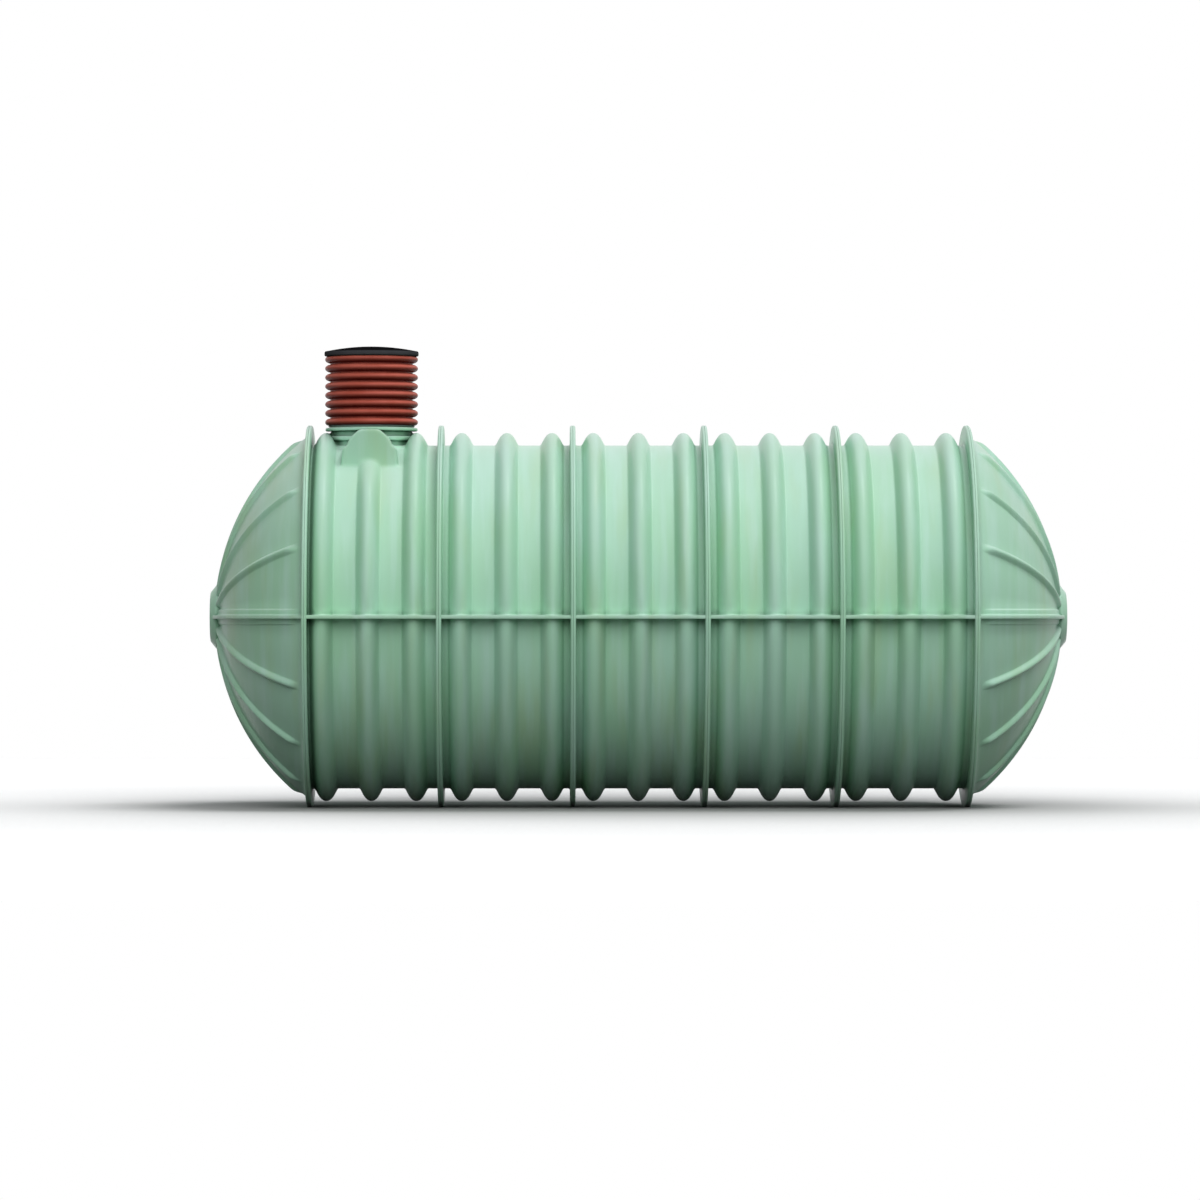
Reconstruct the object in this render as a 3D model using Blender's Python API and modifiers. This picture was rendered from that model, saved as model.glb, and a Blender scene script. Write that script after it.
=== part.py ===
"""Horizontal glass-fibre water tank, bolted together from ribbed half shells.

The tank lies along X. Every piece is modelled about the tank's axis, and an empty on
that axis, tank_axis, carries them all at the height that puts the lowest flange
facets on the ground. The riser stands near the -X end. Lengths are in metres.
"""

import math

import bmesh
import bpy

# Shell segments
SEGMENT_COUNT = 5
SEGMENT_PITCH = 0.918
SHELL_RADIUS = 1.2
WALL = 0.008
ROUND_SIDES = 22  # twice an odd number, so that one facet lies flat at the bottom
JOINT_GAP = 0.0006  # between two flanges that are bolted face to face

# Flanges of the half shells and half domes
FLANGE_WIDTH = 0.14  # from the shell out to the rim
FLANGE_THICKNESS = 0.0185
SIDE_FLANGE_WIDTH = 0.13
SIDE_FLANGE_THICKNESS = 0.0125

# Hoop ribs pressed into the shells
RIBS_PER_SEGMENT = 3
RIB_PITCH = 0.315
RIB_HEIGHT = 0.088
RIB_BASE_WIDTH = 0.15
RIB_CREST_WIDTH = 0.056
RISER_SEGMENT_SHIFT = -0.03  # the segment under the riser has its ribs off centre

# Domed ends
DOME_EDGE_STEP = 0.0766  # how far out of the shell the dome meets the joint plane
DOME_DEPTH = 0.6405  # from the joint plane to the pole
DOME_RIB_SECTORS = 16
DOME_RIB_HEIGHT = 0.032
DOME_RIB_BASE_WIDTH = 0.062
DOME_RIB_CREST_WIDTH = 0.026
DOME_RIB_FADE = 0.07  # length over which a rib runs out at the flange
DOME_STEPS = 4

# Boss at the centre of each dome
BOSS_RADIUS = 0.2275
BOSS_FACE_RADIUS = 0.175
BOSS_HEIGHT = 0.0565  # above the pole of the dome
BOSS_CHAMFER = 0.04
BOSS_SEAT_DEPTH = 0.02  # below the dome's surface at the edge of its hole
BOSS_SIDES = 20

# Neck moulded on the shell under the riser
MANHOLE_RADIUS = 0.27
NECK_HEIGHT = 0.0985  # above the shell
NECK_WALL = 0.015
BEAD_DEPTH = 0.025
BEAD_TOP_DROP = 0.036  # from the top of the neck down to the bead
BEAD_WIDTH = 0.034
NECK_SIDES = 20
NECK_TRIM_CLEARANCE = 0.01  # round the collar, where all is cut level with its seat

# Flat pipe pads at the front and back of the neck
PAD_DISTANCE = 0.6  # from the tank's axis to each pad's face
PAD_TOP_WIDTH = 0.164
PAD_SHOULDER_WIDTH = 0.3
PAD_SHOULDER_DROP = 0.089
PAD_HIP_WIDTH = 0.372
PAD_HIP_DROP = 0.138
PAD_FOOT_WIDTH = 0.4
PAD_FOOT_DROP = 0.272

# Collar bonded on the neck, which holds the riser
COLLAR_RING_WIDTH = 0.026  # out of the lip
COLLAR_RING_HEIGHT = 0.0235
COLLAR_LIP_WIDTH = 0.018  # out of the riser's spigot
COLLAR_LIP_HEIGHT = 0.008
FIT_GAP = 0.0003  # between two pieces that rest on each other

# Corrugated riser, with the same bore as the manhole, and its seal
RISER_RINGS = 8
RISER_RING_PITCH = 0.0627
RISER_RING_DEPTH = 0.037
RISER_CREST_WIDTH = 0.024
RISER_END = 0.023  # from the middle of the last ring to the end of the riser
RISER_SPIGOT_WALL = 0.008
RISER_SPIGOT_CLEARANCE = 0.002  # from the spigot's foot to the top of the neck
RISER_SEAT_WIDTH = 0.01  # out of the spigot, where the riser stands on its seal
SPIGOT_CLEARANCE = 0.0005
SEAL_WIDTH = 0.024  # out of the spigot
SEAL_THICKNESS = 0.008
RISER_SIDES = 20

# Cover
COVER_OVERHANG = 0.0045  # past the riser's rings
COVER_RIM_HEIGHT = 0.032
COVER_DOME_HEIGHT = 0.036
COVER_PLATE = 0.012
COVER_PLUG_DEPTH = 0.03
COVER_PLUG_WALL = 0.008
COVER_PLUG_CLEARANCE = 0.002
COVER_DOME_STEPS = 3

MERGE_DISTANCE = 0.00001
SMOOTH_ANGLE = math.radians(35)  # a sharper edge than this is shaded as a corner
OVERRUN = 0.02  # how far a cutter runs past what it cuts

# Worked out from the sizes above
SEGMENT_LENGTH = SEGMENT_PITCH - JOINT_GAP
TANK_HALF_LENGTH = SEGMENT_COUNT * SEGMENT_PITCH / 2
FLANGE_RADIUS = SHELL_RADIUS + FLANGE_WIDTH
SIDE_FLANGE_RADIUS = SHELL_RADIUS + SIDE_FLANGE_WIDTH
AXIS_HEIGHT = FLANGE_RADIUS * math.cos(math.pi / ROUND_SIDES)
RISER_X = SEGMENT_PITCH * (1 - SEGMENT_COUNT) / 2 + RISER_SEGMENT_SHIFT
DOME_EDGE_RADIUS = SHELL_RADIUS + DOME_EDGE_STEP
DOME_RADIUS = (DOME_EDGE_RADIUS ** 2 + DOME_DEPTH ** 2) / (2 * DOME_DEPTH)  # of the sphere
DOME_CENTRE = DOME_DEPTH - DOME_RADIUS
NECK_TOP = SHELL_RADIUS + NECK_HEIGHT
NECK_RADIUS = MANHOLE_RADIUS + NECK_WALL
BEAD_RADIUS = NECK_RADIUS + BEAD_DEPTH
RISER_SPIGOT_RADIUS = MANHOLE_RADIUS + RISER_SPIGOT_WALL
RISER_VALLEY_RADIUS = RISER_SPIGOT_RADIUS + RISER_SEAT_WIDTH
RISER_RING_RADIUS = RISER_VALLEY_RADIUS + RISER_RING_DEPTH
COLLAR_LIP_RADIUS = RISER_SPIGOT_RADIUS + COLLAR_LIP_WIDTH
COLLAR_RADIUS = COLLAR_LIP_RADIUS + COLLAR_RING_WIDTH
SEAL_RADIUS = RISER_SPIGOT_RADIUS + SEAL_WIDTH
COVER_RADIUS = RISER_RING_RADIUS + COVER_OVERHANG
COLLAR_SEAT = NECK_TOP + FIT_GAP
COLLAR_TOP = COLLAR_SEAT + COLLAR_RING_HEIGHT + COLLAR_LIP_HEIGHT
SEAL_SEAT = COLLAR_TOP + FIT_GAP
RISER_SEAT = SEAL_SEAT + SEAL_THICKNESS + FIT_GAP
RISER_TOP = RISER_SEAT + (RISER_RINGS - 1) * RISER_RING_PITCH + 2 * RISER_END
COVER_SEAT = RISER_TOP + FIT_GAP
ALONG_TANK = (math.pi / 2, 0.0, math.pi / 2)  # turns a piece's Z axis to the tank's X


def clear_scene():
    """Removes every object that Blender's file starts with."""
    for item in list(bpy.data.objects):
        bpy.data.objects.remove(item, do_unlink=True)


def new_collection(name):
    """A collection in the scene."""
    collection = bpy.data.collections.new(name)
    bpy.context.scene.collection.children.link(collection)
    return collection


def new_material(name, colour, roughness):
    """A Principled material of one colour."""
    material = bpy.data.materials.new(name)
    material.use_nodes = True
    shader = material.node_tree.nodes["Principled BSDF"]
    shader.inputs["Base Color"].default_value = (*colour, 1.0)
    shader.inputs["Roughness"].default_value = roughness
    shader.inputs["Metallic"].default_value = 0.0
    return material


def new_object(name, mesh, collection):
    """An object that shows a mesh."""
    item = bpy.data.objects.new(name, mesh)
    collection.objects.link(item)
    return item


def turned(name, profile, sides):
    """A closed profile of (radius, height) points turned about the Z axis.

    The profile runs down its outer side, top to bottom, and back up its inner side.
    """
    corners = [(radius, 0.0, height) for radius, height in profile]
    on_axis = profile[0][0] == 0.0
    edges = [(n, n + 1) for n in range(len(corners) - 1)]
    if not on_axis:
        edges.append((len(corners) - 1, 0))
    mesh = bpy.data.meshes.new(name)
    mesh.from_pydata(corners, edges, [])
    item = new_object(name, mesh, tools)
    turn = item.modifiers.new("Turn", "SCREW")
    turn.axis = "Z"
    turn.steps = sides
    turn.render_steps = sides
    turn.use_merge_vertices = True
    turn.merge_threshold = MERGE_DISTANCE
    return item


def prism(name, outline, low, high, place):
    """A flat outline drawn out from low to high. place(u, v, w) gives each corner."""
    shape = bmesh.new()
    bottom = [shape.verts.new(place(u, v, low)) for u, v in outline]
    face = shape.faces.new(bottom)
    drawn = bmesh.ops.extrude_face_region(shape, geom=[face])
    top = [part for part in drawn["geom"] if isinstance(part, bmesh.types.BMVert)]
    for vert, (u, v) in zip(top, outline):
        vert.co = place(u, v, high)
    bmesh.ops.recalc_face_normals(shape, faces=shape.faces)
    mesh = bpy.data.meshes.new(name)
    shape.to_mesh(mesh)
    shape.free()
    return new_object(name, mesh, tools)


def box(name, low, high):
    """A box between two corners."""
    shape = bmesh.new()
    bmesh.ops.create_cube(shape, size=1.0)
    for vert in shape.verts:
        vert.co = [a + (b - a) * (c + 0.5) for a, b, c in zip(low, high, vert.co)]
    mesh = bpy.data.meshes.new(name)
    shape.to_mesh(mesh)
    shape.free()
    return new_object(name, mesh, tools)


def combine(item, operation, *others):
    """Adds one Boolean for each of the other objects, in order."""
    for other in others:
        step = item.modifiers.new(other.name, "BOOLEAN")
        step.operation = operation
        step.object = other


def weld(mesh):
    """Merges the corners that a cut has left in one place."""
    shape = bmesh.new()
    shape.from_mesh(mesh)
    bmesh.ops.remove_doubles(shape, verts=shape.verts, dist=MERGE_DISTANCE)
    bmesh.ops.dissolve_degenerate(shape, edges=shape.edges, dist=MERGE_DISTANCE)
    shape.to_mesh(mesh)
    shape.free()


def finished_mesh(item, name):
    """The mesh that an object shows after its modifiers and its rotation."""
    bpy.context.view_layer.update()
    graph = bpy.context.evaluated_depsgraph_get()
    mesh = bpy.data.meshes.new_from_object(item.evaluated_get(graph))
    weld(mesh)
    mesh.transform(item.matrix_world)
    mesh.shade_smooth()
    mesh.set_sharp_from_angle(angle=SMOOTH_ANGLE)
    mesh.name = name
    return mesh


def add_part(name, mesh, material, location=(0, 0, 0), rotation=(0, 0, 0)):
    """A named part of the tank, carried by the empty on its axis."""
    if not mesh.materials:
        mesh.materials.append(material)
    part = new_object(name, mesh, parts)
    part.parent = tank_axis
    part.location = location
    part.rotation_euler = rotation
    return part


def rib_outline(shift, inset):
    """The ribbed line of a segment from its +X end to its -X end, set in by a wall."""
    run = (RIB_BASE_WIDTH - RIB_CREST_WIDTH) / 2
    flank = math.hypot(run, RIB_HEIGHT)
    narrowing = inset * (flank - run) / RIB_HEIGHT
    base = RIB_BASE_WIDTH / 2 - narrowing
    crest = RIB_CREST_WIDTH / 2 - narrowing
    low = SHELL_RADIUS - inset
    high = low + RIB_HEIGHT
    line = []
    for number in reversed(range(RIBS_PER_SEGMENT)):
        middle = shift + (number - (RIBS_PER_SEGMENT - 1) / 2) * RIB_PITCH
        line += [(low, middle + base), (high, middle + crest)]
        line += [(high, middle - crest), (low, middle - base)]
    return line


def flanged_outline(shift):
    """The outer line of a segment with a ring flange at each end."""
    end = SEGMENT_LENGTH / 2
    root = end - FLANGE_THICKNESS
    line = [(FLANGE_RADIUS, end), (FLANGE_RADIUS, root), (SHELL_RADIUS, root)]
    line += rib_outline(shift, 0.0)
    line += [(SHELL_RADIUS, -root), (FLANGE_RADIUS, -root), (FLANGE_RADIUS, -end)]
    return line


def side_flanges():
    """The two plates along which an upper and a lower half shell are bolted."""
    end = (SEGMENT_LENGTH - FLANGE_THICKNESS) / 2
    inner = SHELL_RADIUS - WALL / 2
    plates = []
    for side in (-1, 1):
        edges = sorted((side * inner, side * SIDE_FLANGE_RADIUS))
        low = (-end, edges[0], -SIDE_FLANGE_THICKNESS)
        high = (end, edges[1], SIDE_FLANGE_THICKNESS)
        plates.append(box("side_flange", low, high))
    return plates


def lower_half_cutter():
    """Everything below the joint between the upper and lower halves."""
    reach = SEGMENT_PITCH + DOME_RADIUS
    low = (-reach, -reach, -reach)
    return box("below_joint", low, (reach, reach, JOINT_GAP / 2))


def half_shell_mesh(shift):
    """The upper half of a segment: a ribbed wall turned with its two ring flanges."""
    inner = SHELL_RADIUS - WALL
    end = SEGMENT_LENGTH / 2
    inner_line = [(inner, end)] + rib_outline(shift, WALL) + [(inner, -end)]
    section = flanged_outline(shift) + inner_line[::-1]
    shell = turned("shell_profile", section, ROUND_SIDES)
    shell.rotation_euler = ALONG_TANK
    combine(shell, "UNION", *side_flanges())
    combine(shell, "DIFFERENCE", lower_half_cutter())
    return finished_mesh(shell, "half_shell")


def pad_outline(inset, overrun=0.0):
    """The outline of a pipe pad across the tank, set in by a wall, as (x, z)."""
    widths = (PAD_TOP_WIDTH, PAD_SHOULDER_WIDTH, PAD_HIP_WIDTH, PAD_FOOT_WIDTH)
    drops = (-overrun, PAD_SHOULDER_DROP, PAD_HIP_DROP, PAD_FOOT_DROP)
    right = [
        (width / 2 - inset, NECK_TOP - inset - drop)
        for width, drop in zip(widths, drops)
    ]
    right.append((PAD_FOOT_WIDTH / 2 - inset, SHELL_RADIUS / 2))
    left = [(-x, z) for x, z in reversed(right)]
    return right + left


def neck_profile():
    """The outside of the neck, with one bead round it, before its top is cut level."""
    bead_top = NECK_TOP - BEAD_TOP_DROP
    bead_bottom = bead_top - BEAD_WIDTH
    root = SHELL_RADIUS / 2 - OVERRUN
    return [
        (0.0, NECK_TOP + OVERRUN),
        (NECK_RADIUS, NECK_TOP + OVERRUN),
        (NECK_RADIUS, bead_top),
        (BEAD_RADIUS, bead_top),
        (BEAD_RADIUS, bead_bottom),
        (NECK_RADIUS, bead_bottom),
        (NECK_RADIUS, root),
        (0.0, root),
    ]


def cylinder(name, radius, low, high, sides):
    """A closed cylinder about the Z axis."""
    return turned(name, [(0.0, high), (radius, high), (radius, low), (0.0, low)], sides)


def neck_shell_mesh():
    """The upper half shell with the neck, its two pipe pads and the manhole.

    The outside is one solid, and the tank's inside, the manhole and the hollow behind
    the pads are cut out of it, so that the wall follows ribs, neck and pads alike.
    """
    shift = RISER_SEGMENT_SHIFT
    end = SEGMENT_LENGTH / 2
    outside = [(0.0, end)] + flanged_outline(shift) + [(0.0, -end)]
    shell = turned("neck_shell_profile", outside, ROUND_SIDES)
    shell.rotation_euler = ALONG_TANK

    neck = turned("neck", neck_profile(), NECK_SIDES)
    neck.location.x = shift
    pads = prism("pads", pad_outline(0.0, OVERRUN), -PAD_DISTANCE, PAD_DISTANCE,
                 lambda u, v, w: (shift + u, w, v))
    combine(shell, "UNION", pads, neck)

    inner = SHELL_RADIUS - WALL
    far = end + OVERRUN
    inside = [(0.0, far), (inner, far)] + rib_outline(shift, WALL)
    inside += [(inner, -far), (0.0, -far)]
    hollow = turned("inside", inside, ROUND_SIDES)
    hollow.rotation_euler = ALONG_TANK
    depth = PAD_DISTANCE - WALL
    pad_hollow = prism("pad_hollow", pad_outline(WALL), -depth, depth,
                       lambda u, v, w: (shift + u, w, v))
    manhole = cylinder("manhole", MANHOLE_RADIUS, 0.0, NECK_TOP + OVERRUN, NECK_SIDES)
    manhole.location.x = shift
    reach = COLLAR_RADIUS + NECK_TRIM_CLEARANCE
    across = PAD_DISTANCE + OVERRUN
    seat = box("collar_seat", (shift - reach, -across, NECK_TOP),
               (shift + reach, across, FLANGE_RADIUS + OVERRUN))
    combine(shell, "DIFFERENCE", hollow, pad_hollow, seat, manhole)

    combine(shell, "UNION", *side_flanges())
    combine(shell, "DIFFERENCE", lower_half_cutter())
    return finished_mesh(shell, "neck_shell")


def dome_angles():
    """Polar angles of the dome's rings, from the edge of its hole to its flange."""
    first = math.asin((BOSS_RADIUS - OVERRUN) / DOME_RADIUS)
    last = math.acos((FLANGE_THICKNESS / 2 - DOME_CENTRE) / DOME_RADIUS)
    fade = last - DOME_RIB_FADE / DOME_RADIUS
    step = (fade - first) / DOME_STEPS
    return [first + n * step for n in range(DOME_STEPS + 1)] + [last]


def dome_ring(polar, rib_height):
    """Points round the dome at one polar angle, with the ribs standing out of it."""
    ring = []
    sector = 2 * math.pi / DOME_RIB_SECTORS
    radius = DOME_RADIUS * math.sin(polar)
    base = math.asin(DOME_RIB_BASE_WIDTH / 2 / radius)
    crest = math.asin(DOME_RIB_CREST_WIDTH / 2 / radius)
    for number in range(DOME_RIB_SECTORS):
        middle = number * sector
        if number % (DOME_RIB_SECTORS // 2) == 0:
            ring.append((middle, 0.0))
            continue
        ring += [(middle - base, 0.0), (middle - crest, rib_height)]
        ring += [(middle + crest, rib_height), (middle + base, 0.0)]
    return [
        (
            (DOME_RADIUS + height) * math.cos(polar) + DOME_CENTRE,
            (DOME_RADIUS + height) * math.sin(polar) * math.cos(angle),
            (DOME_RADIUS + height) * math.sin(polar) * math.sin(angle),
        )
        for angle, height in ring
    ]


def ribbed_dome():
    """The dome's wall: its outer surface lofted ring by ring, then thickened inwards."""
    angles = dome_angles()
    heights = [DOME_RIB_HEIGHT] * (len(angles) - 1) + [0.0]
    shape = bmesh.new()
    rings = [
        [shape.verts.new(point) for point in dome_ring(angle, height)]
        for angle, height in zip(angles, heights)
    ]
    for inner, outer in zip(rings, rings[1:]):
        for n in range(len(inner)):
            m = (n + 1) % len(inner)
            shape.faces.new((inner[n], outer[n], outer[m], inner[m]))
    bmesh.ops.recalc_face_normals(shape, faces=shape.faces)
    mesh = bpy.data.meshes.new("dome")
    shape.to_mesh(mesh)
    shape.free()
    dome = new_object("dome_wall", mesh, tools)
    wall = dome.modifiers.new("Wall", "SOLIDIFY")
    wall.thickness = WALL
    wall.offset = -1.0
    wall.use_even_offset = True
    return dome


def dome_side_flange():
    """The plate along a half dome's joint, an arc from flange to flange in plan."""
    outer = math.hypot(FLANGE_THICKNESS / 2 - DOME_CENTRE, SIDE_FLANGE_RADIUS)
    angles = dome_angles()
    sweep = [-angle for angle in reversed(angles)] + angles
    arcs = []
    for radius in (outer, DOME_RADIUS - WALL / 2):
        end = math.acos((FLANGE_THICKNESS / 2 - DOME_CENTRE) / radius)
        stretch = end / angles[-1]
        arcs.append([
            (
                radius * math.cos(angle * stretch) + DOME_CENTRE,
                radius * math.sin(angle * stretch),
            )
            for angle in sweep
        ])
    return prism("dome_side_flange", arcs[0] + arcs[1][::-1],
                 -SIDE_FLANGE_THICKNESS, SIDE_FLANGE_THICKNESS, lambda u, v, w: (u, v, w))


def half_dome_mesh():
    """The upper half of a domed end, with its ring flange in the plane x = 0."""
    dome = ribbed_dome()
    inner = SHELL_RADIUS - WALL
    start = JOINT_GAP / 2
    ring = turned("dome_flange", [
        (FLANGE_RADIUS, start + FLANGE_THICKNESS),
        (FLANGE_RADIUS, start),
        (inner, start),
        (inner, start + FLANGE_THICKNESS),
    ], ROUND_SIDES)
    ring.rotation_euler = ALONG_TANK
    hole = cylinder("boss_hole", BOSS_RADIUS + FIT_GAP, 0.0,
                    DOME_DEPTH + BOSS_HEIGHT + OVERRUN, BOSS_SIDES)
    hole.rotation_euler = ALONG_TANK
    below = lower_half_cutter()
    combine(dome, "DIFFERENCE", below)
    combine(ring, "DIFFERENCE", below)
    combine(dome, "UNION", ring, dome_side_flange())
    combine(dome, "DIFFERENCE", hole, below)
    return finished_mesh(dome, "half_dome")


def boss_mesh():
    """The round cap that closes the middle of a dome, hollow from inside."""
    face = DOME_DEPTH + BOSS_HEIGHT
    edge = math.sqrt(DOME_RADIUS ** 2 - BOSS_RADIUS ** 2) + DOME_CENTRE
    foot = edge - BOSS_SEAT_DEPTH
    profile = [
        (0.0, face),
        (BOSS_FACE_RADIUS, face),
        (BOSS_RADIUS, face - BOSS_CHAMFER),
        (BOSS_RADIUS, foot),
        (BOSS_RADIUS - WALL, foot),
        (BOSS_RADIUS - WALL, face - BOSS_CHAMFER - WALL / 2),
        (BOSS_FACE_RADIUS - WALL / 2, face - WALL),
        (0.0, face - WALL),
    ]
    boss = turned("boss_profile", profile, BOSS_SIDES)
    boss.rotation_euler = ALONG_TANK
    return finished_mesh(boss, "boss")


def collar_mesh():
    """The collar: a wide ring on the neck and a lip that holds the riser's spigot."""
    bore = RISER_SPIGOT_RADIUS + SPIGOT_CLEARANCE
    ring_top = COLLAR_SEAT + COLLAR_RING_HEIGHT
    profile = [
        (COLLAR_LIP_RADIUS, COLLAR_TOP),
        (COLLAR_LIP_RADIUS, ring_top),
        (COLLAR_RADIUS, ring_top),
        (COLLAR_RADIUS, COLLAR_SEAT),
        (bore, COLLAR_SEAT),
        (bore, COLLAR_TOP),
    ]
    return finished_mesh(turned("collar_profile", profile, RISER_SIDES), "collar")


def seal_mesh():
    """The rubber ring between the collar's lip and the riser."""
    bore = RISER_SPIGOT_RADIUS + SPIGOT_CLEARANCE
    top = SEAL_SEAT + SEAL_THICKNESS
    profile = [(SEAL_RADIUS, top), (SEAL_RADIUS, SEAL_SEAT), (bore, SEAL_SEAT), (bore, top)]
    return finished_mesh(turned("seal_profile", profile, RISER_SIDES), "seal")


def riser_mesh():
    """The riser: a smooth bore, rings round the outside and a spigot at the foot."""
    line = [(RISER_VALLEY_RADIUS, RISER_TOP)]
    for number in reversed(range(RISER_RINGS)):
        middle = RISER_SEAT + RISER_END + number * RISER_RING_PITCH
        valley = max(middle - RISER_RING_PITCH / 2, RISER_SEAT)
        line += [
            (RISER_RING_RADIUS, middle + RISER_CREST_WIDTH / 2),
            (RISER_RING_RADIUS, middle - RISER_CREST_WIDTH / 2),
            (RISER_VALLEY_RADIUS, valley),
        ]
    foot = NECK_TOP + RISER_SPIGOT_CLEARANCE
    line += [(RISER_SPIGOT_RADIUS, RISER_SEAT), (RISER_SPIGOT_RADIUS, foot)]
    line += [(MANHOLE_RADIUS, foot), (MANHOLE_RADIUS, RISER_TOP)]
    return finished_mesh(turned("riser_profile", line, RISER_SIDES), "riser")


def cover_mesh():
    """The cover: a low dome on a rim, with a plug ring that centres it in the bore."""
    rim_top = COVER_SEAT + COVER_RIM_HEIGHT
    plug = MANHOLE_RADIUS - COVER_PLUG_CLEARANCE
    dome = []
    for n in range(COVER_DOME_STEPS + 1):
        share = n / COVER_DOME_STEPS
        dome.append((COVER_RADIUS * share, rim_top + COVER_DOME_HEIGHT * (1 - share ** 2)))
    profile = dome + [
        (COVER_RADIUS, COVER_SEAT),
        (plug, COVER_SEAT),
        (plug, COVER_SEAT - COVER_PLUG_DEPTH),
        (plug - COVER_PLUG_WALL, COVER_SEAT - COVER_PLUG_DEPTH),
        (plug - COVER_PLUG_WALL, rim_top - COVER_PLATE),
        (0.0, rim_top + COVER_DOME_HEIGHT - COVER_PLATE),
    ]
    return finished_mesh(turned("cover_profile", profile, RISER_SIDES), "cover")


def add_shells():
    """The upper and lower half shells, numbered from the riser's end."""
    plain = half_shell_mesh(0.0)
    shifted = half_shell_mesh(RISER_SEGMENT_SHIFT)
    with_neck = neck_shell_mesh()
    for number in range(SEGMENT_COUNT):
        place = ((number - (SEGMENT_COUNT - 1) / 2) * SEGMENT_PITCH, 0, 0)
        under_riser = number == 0
        upper = with_neck if under_riser else plain
        lower = shifted if under_riser else plain
        add_part(f"shell_upper_{number + 1}", upper, gelcoat, place)
        add_part(f"shell_lower_{number + 1}", lower, gelcoat, place, (math.pi, 0, 0))


def add_ends():
    """The half domes and the bosses, at the riser's end and at the far end."""
    half = half_dome_mesh()
    boss = boss_mesh()
    for name, side, turn in (("riser_end", -1, math.pi), ("far_end", 1, 0.0)):
        place = (side * TANK_HALF_LENGTH, 0, 0)
        add_part(f"dome_upper_{name}", half, gelcoat, place, (0, 0, turn))
        add_part(f"dome_lower_{name}", half, gelcoat, place, (math.pi, 0, turn))
        add_part(f"dome_boss_{name}", boss, gelcoat, place, (0, 0, turn))


def add_riser():
    """The collar, seal, riser and cover, one on the other."""
    place = (RISER_X, 0, 0)
    add_part("neck_collar", collar_mesh(), gelcoat, place)
    add_part("riser_seal", seal_mesh(), rubber, place)
    add_part("riser", riser_mesh(), red_plastic, place)
    add_part("riser_cover", cover_mesh(), black_plastic, place)


def remove_tools():
    """Removes the objects that the finished meshes were made from."""
    for item in list(tools.objects):
        bpy.data.objects.remove(item, do_unlink=True)
    bpy.data.collections.remove(tools)


clear_scene()
parts = new_collection("water_tank")
tools = new_collection("tools")
gelcoat = new_material("green_gelcoat", (0.26, 0.50, 0.37), 0.35)
red_plastic = new_material("red_plastic", (0.28, 0.045, 0.025), 0.4)
black_plastic = new_material("black_plastic", (0.012, 0.013, 0.016), 0.35)
rubber = new_material("grey_rubber", (0.12, 0.13, 0.13), 0.7)
tank_axis = new_object("tank_axis", None, parts)
tank_axis.location.z = AXIS_HEIGHT
add_shells()
add_ends()
add_riser()
remove_tools()
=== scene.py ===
import math

import bmesh
import bpy
import numpy as np
from mathutils import Matrix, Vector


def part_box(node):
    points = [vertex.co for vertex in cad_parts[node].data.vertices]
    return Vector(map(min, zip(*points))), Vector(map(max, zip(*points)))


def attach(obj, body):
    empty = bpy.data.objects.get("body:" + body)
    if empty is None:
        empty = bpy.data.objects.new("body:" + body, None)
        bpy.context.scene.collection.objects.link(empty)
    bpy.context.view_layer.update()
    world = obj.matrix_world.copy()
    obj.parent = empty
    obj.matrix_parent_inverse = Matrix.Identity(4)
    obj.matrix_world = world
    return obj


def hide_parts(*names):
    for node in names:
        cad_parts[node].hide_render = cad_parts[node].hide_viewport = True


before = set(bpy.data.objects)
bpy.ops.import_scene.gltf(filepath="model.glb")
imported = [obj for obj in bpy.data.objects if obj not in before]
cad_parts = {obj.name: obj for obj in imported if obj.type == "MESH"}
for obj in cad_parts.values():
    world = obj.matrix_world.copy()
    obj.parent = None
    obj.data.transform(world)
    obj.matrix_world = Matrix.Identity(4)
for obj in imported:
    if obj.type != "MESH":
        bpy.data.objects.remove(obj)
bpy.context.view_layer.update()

# Shell segments, as in the solids
SEGMENTS = 5
SHELL_RADIUS = 1.2
WALL = 0.008
JOINT_GAP = 0.0006
FLANGE_THICKNESS = 0.0185
SIDE_FLANGE_RADIUS = 1.33
SIDE_FLANGE_THICKNESS = 0.0125
RISER_SEGMENT_SHIFT = -0.03

# Rounding of the moulded edges
RIM_ROUND = 0.013
JOINT_ROUND = 0.003
FLANGE_FILLET = 0.014
LIP_ROUND = 0.004
LIP_FILLET = 0.014
LIP_CORNER = 0.3 * LIP_ROUND
SIDE_LIP = (  # inset and height of each point on the edge of a side flange
    (0, JOINT_GAP / 2),
    (0, SIDE_FLANGE_THICKNESS - LIP_ROUND),
    (LIP_CORNER, SIDE_FLANGE_THICKNESS - LIP_CORNER),
    (LIP_ROUND, SIDE_FLANGE_THICKNESS),
)
ARC_STEPS = 5
MERGE_DISTANCE = 0.00002
SHORTEST_EDGE = 0.00001

# Hoop ribs
RIBS = 3
RIB_PITCH = 0.315
RIB_HEIGHT = 0.088
RIB_HALF_WIDTH = 0.078
RIB_POWER = 2.2
RIB_FILLET = 0.022
RIB_REACH = 1.16  # how far the fillets of a rib go, in half widths
RIB_POINTS = 37
RIB_INNER_POINTS = 12
PAD_RIB_SHARE = 0.45  # height of the middle rib where it runs under a pipe pad
PAD_RIB_ANGLES = (40, 63)  # from the axis' level, where it sinks to that
QUARTER_STEPS = 40

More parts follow.
